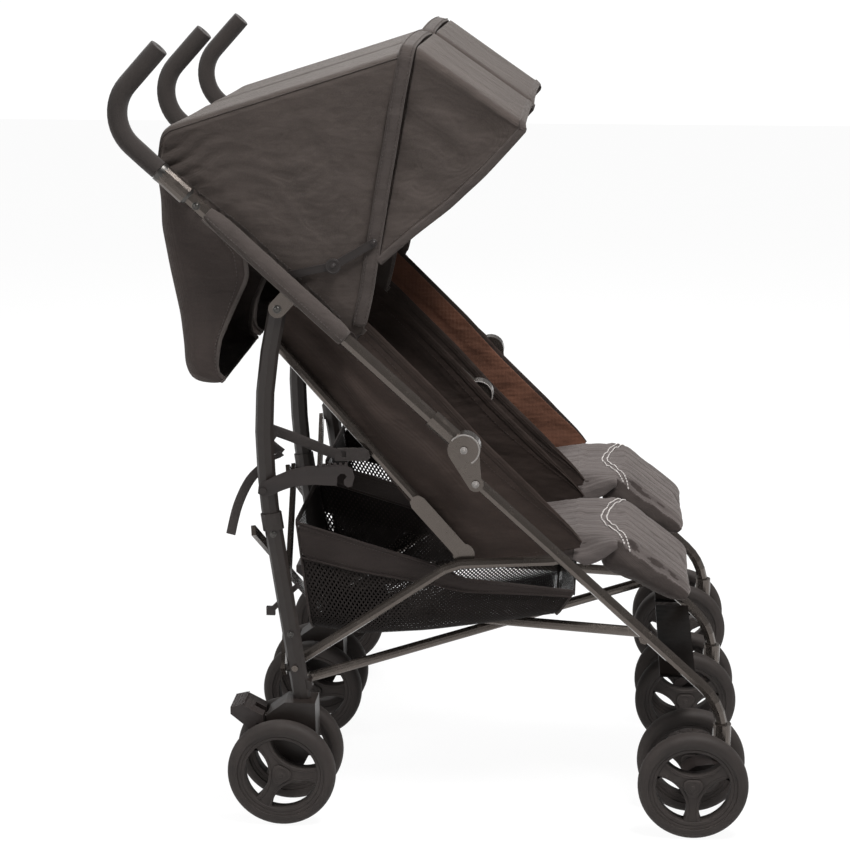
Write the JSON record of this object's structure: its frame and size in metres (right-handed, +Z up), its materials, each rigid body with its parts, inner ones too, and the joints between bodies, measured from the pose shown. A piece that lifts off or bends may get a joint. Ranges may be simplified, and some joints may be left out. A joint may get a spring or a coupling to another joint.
{
  "type": "side-by-side double stroller",
  "caption": "Side-by-side double stroller with an umbrella-fold tube frame, paired wheels, reclining padded seats, hoods and net baskets.",
  "frame": {"origin": "on the floor, under the middle of the object's length and width", "axes": "+X forwards, +Y to the left of someone who pushes it, +Z up"},
  "size_m": [0.86, 0.767, 1.0644],
  "materials": {
    "painted_tube": "satin black powder coat",
    "plastic": "moulded, fine matt grain",
    "foam": "soft closed-cell foam",
    "wheel": "matt foam tyre on a moulded hub",
    "canopy_cloth": "plain woven polyester",
    "seat_cloth": "padded woven polyester with sewn channels",
    "net": "knitted net with a woven top band"
  },
  "bodies": {
    "frame_middle": {"handle_middle": "painted_tube", "grip_middle": "foam", "hood_flaps": "canopy_cloth"},
    "frame_right": {"handle_right": "painted_tube", "grip_right": "foam"},
    "frame_left": {"handle_left": "painted_tube", "grip_left": "foam"},
    "front_leg_middle": {"front_leg_middle": "painted_tube", "footrest": "plastic"},
    "front_leg_right": {"front_leg_right": "painted_tube"},
    "front_leg_left": {"front_leg_left": "painted_tube"},
    "rear_leg_right": {"rear_leg_right": "painted_tube"},
    "seat_rail_right": {"seat_rail_right": "painted_tube"},
    "caster_right": {"caster_fork_right": "plastic"},
    "front_wheels_right": {"front_wheels_right": "wheel"},
    "rear_wheels_right": {"rear_wheels_right": "wheel"},
    "rear_leg_middle": {"rear_leg_middle": "painted_tube"},
    "seat_rail_middle": {"seat_rail_middle": "painted_tube", "seat_pads": "seat_cloth", "baskets": "net"},
    "caster_middle": {"caster_fork_middle": "plastic"},
    "front_wheels_middle": {"front_wheels_middle": "wheel"},
    "rear_wheels_middle": {"rear_wheels_middle": "wheel"},
    "rear_leg_left": {"rear_leg_left": "painted_tube"},
    "seat_rail_left": {"seat_rail_left": "painted_tube"},
    "caster_left": {"caster_fork_left": "plastic"},
    "front_wheels_left": {"front_wheels_left": "wheel"},
    "rear_wheels_left": {"rear_wheels_left": "wheel"},
    "recline_bracket_right_outer": {"recline_bracket_right_outer": "painted_tube"},
    "backrest_right_outer": {"backrest_tube_right_outer": "painted_tube", "seat_back_right": "seat_cloth"},
    "recline_bracket_right_inner": {"recline_bracket_right_inner": "painted_tube"},
    "backrest_right_inner": {"backrest_tube_right_inner": "painted_tube"},
    "calf_rest_right": {"calf_rest_right": "seat_cloth"},
    "brake_pedal_right": {"brake_pedal_right": "plastic"},
    "hood_hinge_right": {"hood_hinge_right": "painted_tube"},
    "hood_right": {"hood_right": "canopy_cloth"},
    "stay_rear_right": {"hood_stay_rear_right": "plastic"},
    "stay_front_right": {"hood_stay_front_right": "plastic"},
    "lower_bar_right_outer": {"lower_bar_right_outer": "painted_tube"},
    "lower_bar_right_inner": {"lower_bar_right_inner": "painted_tube"},
    "rear_bar_right_outer": {"rear_bar_right_outer": "painted_tube"},
    "rear_bar_right_inner": {"rear_bar_right_inner": "painted_tube"},
    "recline_bracket_left_outer": {"recline_bracket_left_outer": "painted_tube"},
    "backrest_left_outer": {"backrest_tube_left_outer": "painted_tube", "seat_back_left": "seat_cloth"},
    "recline_bracket_left_inner": {"recline_bracket_left_inner": "painted_tube"},
    "backrest_left_inner": {"backrest_tube_left_inner": "painted_tube"},
    "calf_rest_left": {"calf_rest_left": "seat_cloth"},
    "brake_pedal_left": {"brake_pedal_left": "plastic"},
    "hood_hinge_left": {"hood_hinge_left": "painted_tube"},
    "hood_left": {"hood_left": "canopy_cloth"},
    "stay_rear_left": {"hood_stay_rear_left": "plastic"},
    "stay_front_left": {"hood_stay_front_left": "plastic"},
    "lower_bar_left_outer": {"lower_bar_left_outer": "painted_tube"},
    "lower_bar_left_inner": {"lower_bar_left_inner": "painted_tube"},
    "rear_bar_left_outer": {"rear_bar_left_outer": "painted_tube"},
    "rear_bar_left_inner": {"rear_bar_left_inner": "painted_tube"},
    "carry_latch": {"carry_latch": "plastic"},
    "fold_lock": {"fold_lock_lever": "plastic"}
  },
  "joints": [
    {"name": "fold", "type": "hinge", "parent": "frame_middle", "child": "front_leg_middle", "pos_m": [0.03996, 0, 0.529], "axis": [0, -1, 0], "range_deg": [0, 180], "deforming": ["hood_right", "hood_left", "hood_flaps", "seat_pads", "seat_back_right", "seat_back_left", "calf_rest_right", "calf_rest_left", "baskets", "footrest"]},
    {"name": "right_frame_slide", "type": "slide", "parent": "frame_middle", "child": "frame_right", "axis": [0, 1, 0], "range_m": [0, 0.193]},
    {"name": "front_leg_right_fold", "type": "hinge", "parent": "frame_right", "child": "front_leg_right", "pos_m": [0.03996, -0.325, 0.529], "axis": [0, -1, 0], "range_deg": [0, 180]},
    {"name": "left_frame_slide", "type": "slide", "parent": "frame_middle", "child": "frame_left", "axis": [0, -1, 0], "range_m": [0, 0.193]},
    {"name": "front_leg_left_fold", "type": "hinge", "parent": "frame_left", "child": "front_leg_left", "pos_m": [0.03996, 0.325, 0.529], "axis": [0, -1, 0], "range_deg": [0, 180]},
    {"name": "rear_leg_right_fold", "type": "hinge", "parent": "frame_right", "child": "rear_leg_right", "pos_m": [-0.2081, -0.325, 0.71551], "axis": [0, -1, 0], "range_deg": [0, 47]},
    {"name": "seat_rail_right_fold", "type": "hinge", "parent": "rear_leg_right", "child": "seat_rail_right", "pos_m": [-0.19204, -0.325, 0.213], "axis": [0, -1, 0], "range_deg": [0, 61.1]},
    {"name": "caster_right_swivel", "type": "hinge", "parent": "front_leg_right", "child": "caster_right", "pos_m": [0.39396, -0.325, 0.096], "axis": [0, 0, 1], "continuous": true},
    {"name": "front_wheels_right_spin", "type": "hinge", "parent": "caster_right", "child": "front_wheels_right", "pos_m": [0.35496, -0.325, 0.075], "axis": [0, 1, 0], "continuous": true},
    {"name": "rear_wheels_right_spin", "type": "hinge", "parent": "rear_leg_right", "child": "rear_wheels_right", "pos_m": [-0.20704, -0.325, 0.075], "axis": [0, 1, 0], "continuous": true},
    {"name": "rear_leg_middle_fold", "type": "hinge", "parent": "frame_middle", "child": "rear_leg_middle", "pos_m": [-0.2081, 0, 0.71551], "axis": [0, -1, 0], "range_deg": [0, 47]},
    {"name": "seat_rail_middle_fold", "type": "hinge", "parent": "rear_leg_middle", "child": "seat_rail_middle", "pos_m": [-0.19204, 0, 0.213], "axis": [0, -1, 0], "range_deg": [0, 61.1]},
    {"name": "caster_middle_swivel", "type": "hinge", "parent": "front_leg_middle", "child": "caster_middle", "pos_m": [0.39396, 0, 0.096], "axis": [0, 0, 1], "continuous": true},
    {"name": "front_wheels_middle_spin", "type": "hinge", "parent": "caster_middle", "child": "front_wheels_middle", "pos_m": [0.35496, 0, 0.075], "axis": [0, 1, 0], "continuous": true},
    {"name": "rear_wheels_middle_spin", "type": "hinge", "parent": "rear_leg_middle", "child": "rear_wheels_middle", "pos_m": [-0.20704, 0, 0.075], "axis": [0, 1, 0], "continuous": true},
    {"name": "rear_leg_left_fold", "type": "hinge", "parent": "frame_left", "child": "rear_leg_left", "pos_m": [-0.2081, 0.325, 0.71551], "axis": [0, -1, 0], "range_deg": [0, 47]},
    {"name": "seat_rail_left_fold", "type": "hinge", "parent": "rear_leg_left", "child": "seat_rail_left", "pos_m": [-0.19204, 0.325, 0.213], "axis": [0, -1, 0], "range_deg": [0, 61.1]},
    {"name": "caster_left_swivel", "type": "hinge", "parent": "front_leg_left", "child": "caster_left", "pos_m": [0.39396, 0.325, 0.096], "axis": [0, 0, 1], "continuous": true},
    {"name": "front_wheels_left_spin", "type": "hinge", "parent": "caster_left", "child": "front_wheels_left", "pos_m": [0.35496, 0.325, 0.075], "axis": [0, 1, 0], "continuous": true},
    {"name": "rear_wheels_left_spin", "type": "hinge", "parent": "rear_leg_left", "child": "rear_wheels_left", "pos_m": [-0.20704, 0.325, 0.075], "axis": [0, 1, 0], "continuous": true},
    {"name": "recline_bracket_right_outer_turn", "type": "hinge", "parent": "seat_rail_right", "child": "recline_bracket_right_outer", "pos_m": [0.03796, -0.325, 0.372], "axis": [0, -1, 0], "range_deg": [-108.1, 0]},
    {"name": "right_seat_recline", "type": "hinge", "parent": "recline_bracket_right_outer", "child": "backrest_right_outer", "pos_m": [0.03796, -0.325, 0.372], "axis": [0, -1, 0], "range_deg": [0, 32]},
    {"name": "recline_bracket_right_inner_turn", "type": "hinge", "parent": "seat_rail_middle", "child": "recline_bracket_right_inner", "pos_m": [0.03796, 0, 0.372], "axis": [0, -1, 0], "range_deg": [-108.1, 0]},
    {"name": "backrest_right_inner_recline", "type": "hinge", "parent": "recline_bracket_right_inner", "child": "backrest_right_inner", "pos_m": [0.03796, 0, 0.372], "axis": [0, -1, 0], "range_deg": [0, 32]},
    {"name": "calf_rest_right_lift", "type": "hinge", "parent": "seat_rail_middle", "child": "calf_rest_right", "pos_m": [0.21996, -0.1625, 0.3485], "axis": [0, -1, 0], "range_deg": [0, 35]},
    {"name": "brake_pedal_right_press", "type": "hinge", "parent": "rear_leg_right", "child": "brake_pedal_right", "pos_m": [-0.24204, -0.325, 0.135], "axis": [0, -1, 0], "range_deg": [0, 22]},
    {"name": "hood_hinge_right_swing", "type": "hinge", "parent": "frame_right", "child": "hood_hinge_right", "pos_m": [-0.11684, -0.325, 0.67168], "axis": [0, -1, 0], "range_deg": [0, 78]},
    {"name": "hood_right_fold", "type": "hinge", "parent": "hood_hinge_right", "child": "hood_right", "pos_m": [-0.11684, -0.325, 0.67168], "axis": [0, 1, 0], "range_deg": [-54, 0]},
    {"name": "stay_rear_right_turn", "type": "hinge", "parent": "hood_hinge_right", "child": "stay_rear_right", "pos_m": [-0.20781, -0.325, 0.75446], "axis": [0, -1, 0], "range_deg": [0, 116.4]},
    {"name": "stay_front_right_turn", "type": "hinge", "parent": "hood_right", "child": "stay_front_right", "pos_m": [-0.08204, -0.325, 0.802], "axis": [0, -1, 0], "range_deg": [-118.99, 0]},
    {"name": "lower_bar_right_outer_swing", "type": "hinge", "parent": "rear_leg_right", "child": "lower_bar_right_outer", "pos_m": [-0.17604, -0.294, 0.195], "axis": [0.1377, -0.9482, -0.2864], "range_deg": [0, 85.25]},
    {"name": "lower_bar_right_inner_swing", "type": "hinge", "parent": "rear_leg_middle", "child": "lower_bar_right_inner", "pos_m": [-0.17604, -0.031, 0.195], "axis": [-0.1377, -0.9482, 0.2864], "range_deg": [0, 85.25]},
    {"name": "rear_bar_right_outer_swing", "type": "hinge", "parent": "rear_leg_right", "child": "rear_bar_right_outer", "pos_m": [-0.19038, -0.325, 0.213], "axis": [0.9892, 0, 0.1467], "range_deg": [0, 38.34]},
    {"name": "rear_bar_right_inner_swing", "type": "hinge", "parent": "rear_leg_middle", "child": "rear_bar_right_inner", "pos_m": [-0.19038, 0, 0.213], "axis": [-0.9892, 0, -0.1467], "range_deg": [0, 38.34]},
    {"name": "recline_bracket_left_outer_turn", "type": "hinge", "parent": "seat_rail_left", "child": "recline_bracket_left_outer", "pos_m": [0.03796, 0.325, 0.372], "axis": [0, -1, 0], "range_deg": [-108.1, 0]},
    {"name": "left_seat_recline", "type": "hinge", "parent": "recline_bracket_left_outer", "child": "backrest_left_outer", "pos_m": [0.03796, 0.325, 0.372], "axis": [0, -1, 0], "range_deg": [0, 32]},
    {"name": "recline_bracket_left_inner_turn", "type": "hinge", "parent": "seat_rail_middle", "child": "recline_bracket_left_inner", "pos_m": [0.03796, 0, 0.372], "axis": [0, -1, 0], "range_deg": [-108.1, 0]},
    {"name": "backrest_left_inner_recline", "type": "hinge", "parent": "recline_bracket_left_inner", "child": "backrest_left_inner", "pos_m": [0.03796, 0, 0.372], "axis": [0, -1, 0], "range_deg": [0, 32]},
    {"name": "calf_rest_left_lift", "type": "hinge", "parent": "seat_rail_middle", "child": "calf_rest_left", "pos_m": [0.21996, 0.1625, 0.3485], "axis": [0, -1, 0], "range_deg": [0, 35]},
    {"name": "brake_pedal_left_press", "type": "hinge", "parent": "rear_leg_left", "child": "brake_pedal_left", "pos_m": [-0.24204, 0.325, 0.135], "axis": [0, -1, 0], "range_deg": [0, 22]},
    {"name": "hood_hinge_left_swing", "type": "hinge", "parent": "frame_left", "child": "hood_hinge_left", "pos_m": [-0.11684, 0.325, 0.67168], "axis": [0, -1, 0], "range_deg": [0, 78]},
    {"name": "hood_left_fold", "type": "hinge", "parent": "hood_hinge_left", "child": "hood_left", "pos_m": [-0.11684, 0.325, 0.67168], "axis": [0, 1, 0], "range_deg": [-54, 0]},
    {"name": "stay_rear_left_turn", "type": "hinge", "parent": "hood_hinge_left", "child": "stay_rear_left", "pos_m": [-0.20781, 0.325, 0.75446], "axis": [0, -1, 0], "range_deg": [0, 116.4]},
    {"name": "stay_front_left_turn", "type": "hinge", "parent": "hood_left", "child": "stay_front_left", "pos_m": [-0.08204, 0.325, 0.802], "axis": [0, -1, 0], "range_deg": [-118.99, 0]},
    {"name": "lower_bar_left_outer_swing", "type": "hinge", "parent": "rear_leg_left", "child": "lower_bar_left_outer", "pos_m": [-0.17604, 0.294, 0.195], "axis": [-0.1377, -0.9482, 0.2864], "range_deg": [0, 85.25]},
    {"name": "lower_bar_left_inner_swing", "type": "hinge", "parent": "rear_leg_middle", "child": "lower_bar_left_inner", "pos_m": [-0.17604, 0.031, 0.195], "axis": [0.1377, -0.9482, -0.2864], "range_deg": [0, 85.25]},
    {"name": "rear_bar_left_outer_swing", "type": "hinge", "parent": "rear_leg_left", "child": "rear_bar_left_outer", "pos_m": [-0.19038, 0.325, 0.213], "axis": [-0.9892, 0, -0.1467], "range_deg": [0, 38.34]},
    {"name": "rear_bar_left_inner_swing", "type": "hinge", "parent": "rear_leg_middle", "child": "rear_bar_left_inner", "pos_m": [-0.19038, 0, 0.213], "axis": [0.9892, 0, 0.1467], "range_deg": [0, 38.34]},
    {"name": "carry_latch_swing", "type": "hinge", "parent": "rear_leg_right", "child": "carry_latch", "pos_m": [-0.23104, -0.325, 0.467], "axis": [0, -1, 0], "range_deg": [0, 60]},
    {"name": "fold_lock_press", "type": "hinge", "parent": "rear_leg_right", "child": "fold_lock", "pos_m": [-0.20604, -0.325, 0.31], "axis": [0, -1, 0], "range_deg": [0, 20]}
  ],
  "couplings": [
    {"joint": "right_frame_slide", "follows": "fold", "m_per_rad": 0.061434},
    {"joint": "front_leg_right_fold", "follows": "fold", "ratio": 1},
    {"joint": "left_frame_slide", "follows": "fold", "m_per_rad": 0.061434},
    {"joint": "front_leg_left_fold", "follows": "fold", "ratio": 1},
    {"joint": "rear_leg_right_fold", "follows": "fold", "ratio": 0.26111},
    {"joint": "seat_rail_right_fold", "follows": "fold", "ratio": 0.33944},
    {"joint": "rear_leg_middle_fold", "follows": "fold", "ratio": 0.26111},
    {"joint": "seat_rail_middle_fold", "follows": "fold", "ratio": 0.33944},
    {"joint": "rear_leg_left_fold", "follows": "fold", "ratio": 0.26111},
    {"joint": "seat_rail_left_fold", "follows": "fold", "ratio": 0.33944},
    {"joint": "recline_bracket_right_outer_turn", "follows": "fold", "ratio": -0.60056},
    {"joint": "recline_bracket_right_inner_turn", "follows": "fold", "ratio": -0.60056},
    {"joint": "backrest_right_inner_recline", "follows": "right_seat_recline", "ratio": 1},
    {"joint": "hood_hinge_right_swing", "follows": "fold", "ratio": 0.43333},
    {"joint": "stay_rear_right_turn", "follows": "hood_right_fold", "ratio": -2.1555},
    {"joint": "stay_front_right_turn", "follows": "hood_right_fold", "ratio": 2.2035},
    {"joint": "lower_bar_right_outer_swing", "follows": "fold", "ratio": 0.47364},
    {"joint": "lower_bar_right_inner_swing", "follows": "fold", "ratio": 0.47364},
    {"joint": "rear_bar_right_outer_swing", "follows": "fold", "ratio": 0.213},
    {"joint": "rear_bar_right_inner_swing", "follows": "fold", "ratio": 0.213},
    {"joint": "recline_bracket_left_outer_turn", "follows": "fold", "ratio": -0.60056},
    {"joint": "recline_bracket_left_inner_turn", "follows": "fold", "ratio": -0.60056},
    {"joint": "backrest_left_inner_recline", "follows": "left_seat_recline", "ratio": 1},
    {"joint": "hood_hinge_left_swing", "follows": "fold", "ratio": 0.43333},
    {"joint": "stay_rear_left_turn", "follows": "hood_left_fold", "ratio": -2.1555},
    {"joint": "stay_front_left_turn", "follows": "hood_left_fold", "ratio": 2.2035},
    {"joint": "lower_bar_left_outer_swing", "follows": "fold", "ratio": 0.47364},
    {"joint": "lower_bar_left_inner_swing", "follows": "fold", "ratio": 0.47364},
    {"joint": "rear_bar_left_outer_swing", "follows": "fold", "ratio": 0.213},
    {"joint": "rear_bar_left_inner_swing", "follows": "fold", "ratio": 0.213}
  ]
}
